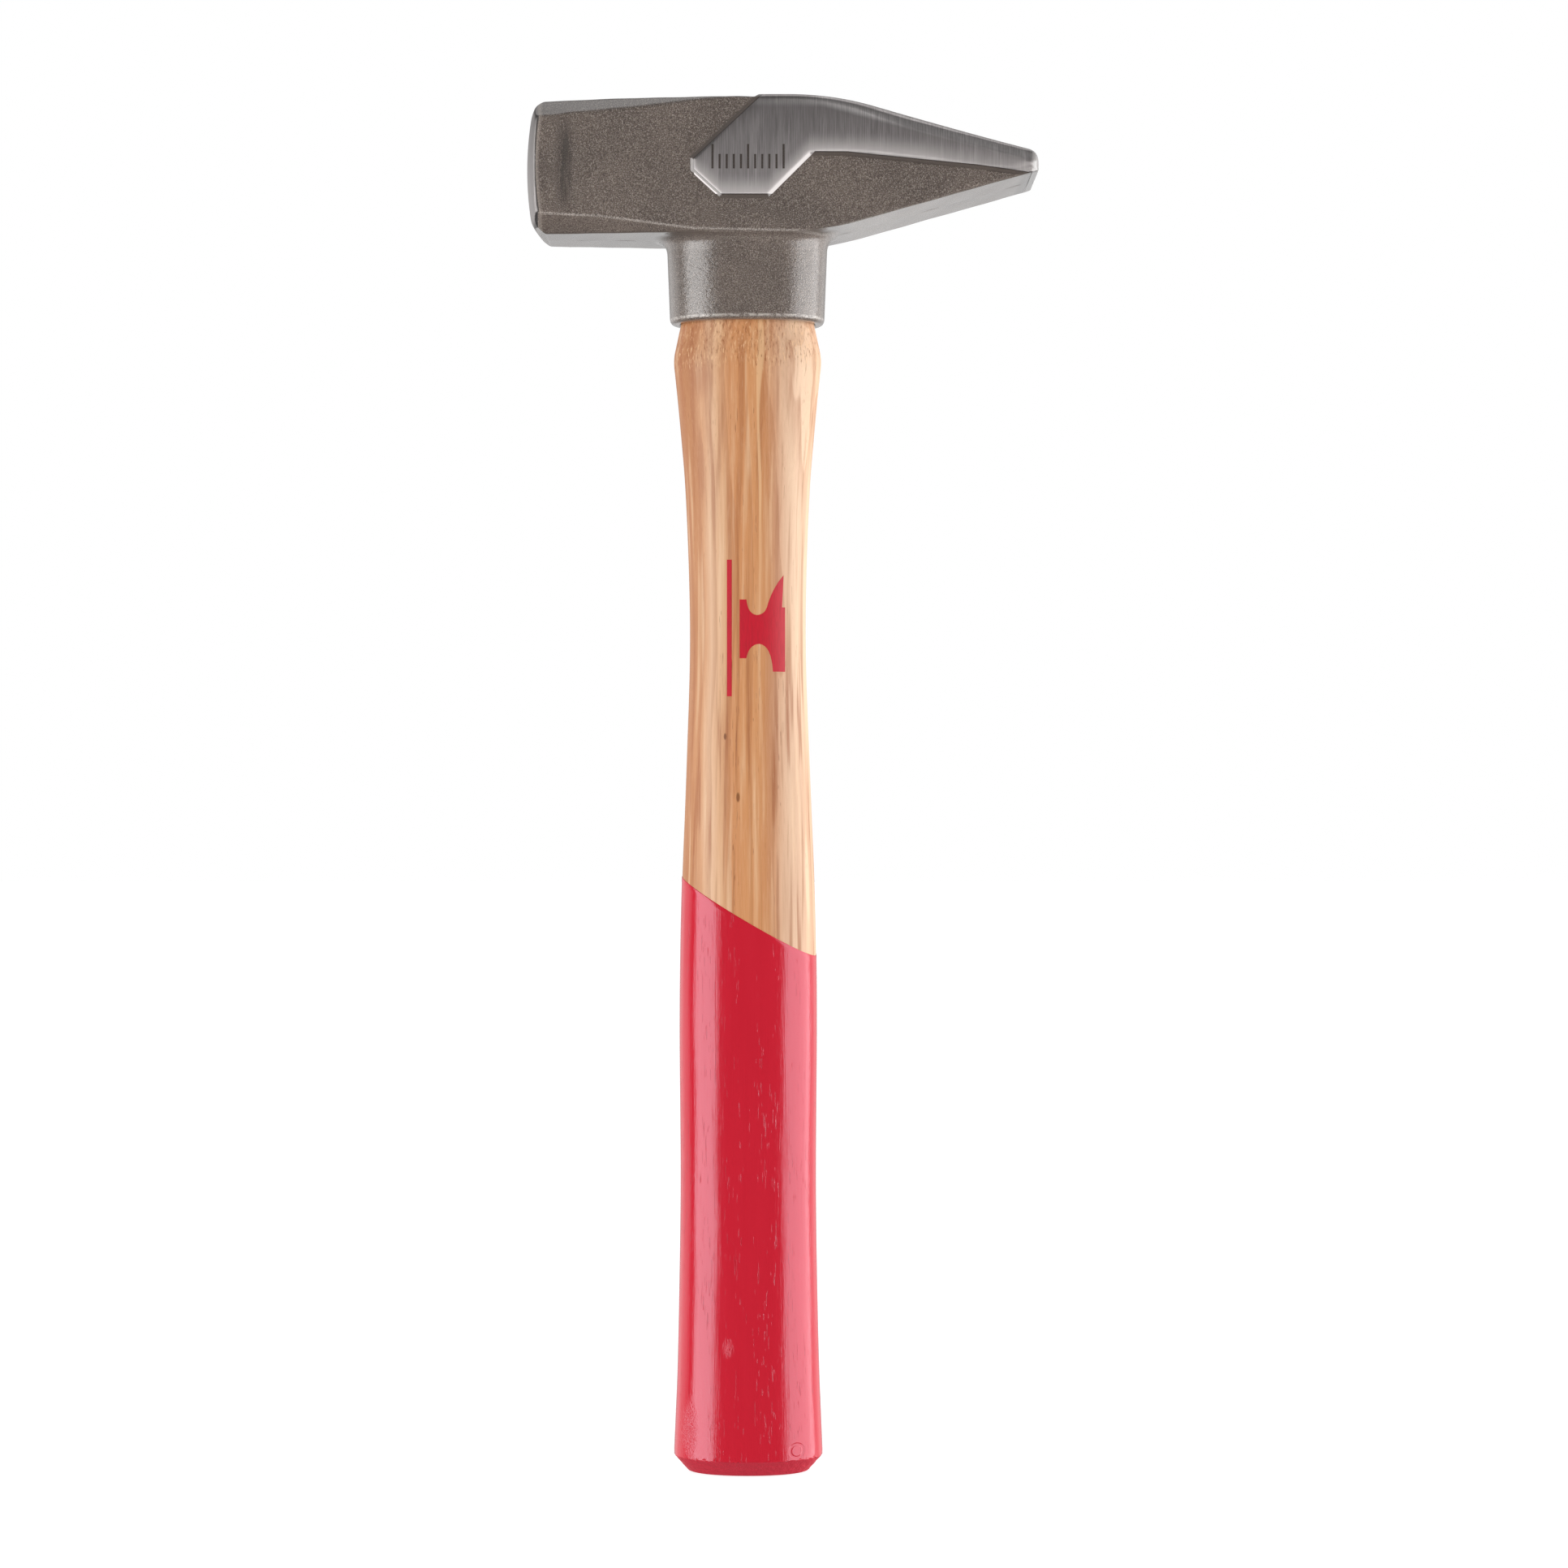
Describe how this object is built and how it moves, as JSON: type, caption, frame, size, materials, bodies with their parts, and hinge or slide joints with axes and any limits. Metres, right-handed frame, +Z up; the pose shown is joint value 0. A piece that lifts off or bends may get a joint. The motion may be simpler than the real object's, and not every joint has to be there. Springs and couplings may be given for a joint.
{
  "type": "machinist hammer",
  "caption": "Machinist's cross-pein hammer: forged head with a guard collar, wedged on an oval hickory handle with a lacquered grip.",
  "frame": {"origin": "centre of the handle's flat butt end, on the handle's centre line", "axes": "+Z up the handle towards the head, +X towards the pein, -Y towards the cheek that faces the viewer"},
  "size_m": [0.135, 0.0372, 0.3632],
  "materials": {
    "forged_steel": "shot-blasted forging under a dark warm-grey metallic lacquer, cheeks' raised land and pein top belt-ground bright",
    "hickory": "straight-grained hickory, clear satin lacquer",
    "red_lacquer": "gloss red dip lacquer with the wood's pores showing through",
    "wedge_wood": "plain sawn hardwood",
    "bright_steel": "bright turned steel"
  },
  "bodies": {
    "root": {"head": "forged_steel", "handle": "hickory", "dip_coat": "red_lacquer", "wood_wedge": "wedge_wood", "ring_wedge": "bright_steel"}
  },
  "joints": []
}
